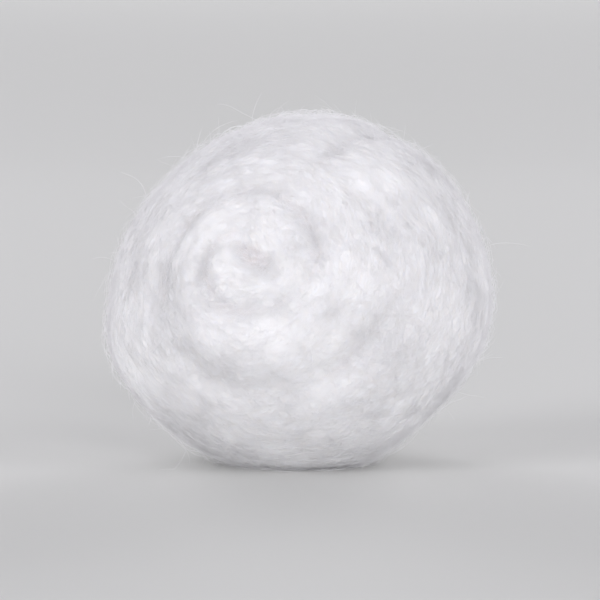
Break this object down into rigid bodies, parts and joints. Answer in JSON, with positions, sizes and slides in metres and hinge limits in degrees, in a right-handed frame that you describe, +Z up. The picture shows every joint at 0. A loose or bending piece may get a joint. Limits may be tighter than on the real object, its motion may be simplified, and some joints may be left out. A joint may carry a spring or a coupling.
{
  "type": "cotton ball",
  "caption": "Soft white ball of rolled cotton wool, with the web's turns showing at both ends of the roll and a small flat that it lies on.",
  "frame": {"origin": "under the middle of the ball's width and depth, on the small flat that it lies on", "axes": "+Z up from the flat; -Y is the side that the near end of the roll looks out of, a little to the left and up; +X to the right"},
  "size_m": [0.0326, 0.0296, 0.0298],
  "materials": {
    "cotton": "matte"
  },
  "bodies": {
    "root": {"cotton_ball": "cotton"}
  },
  "joints": []
}
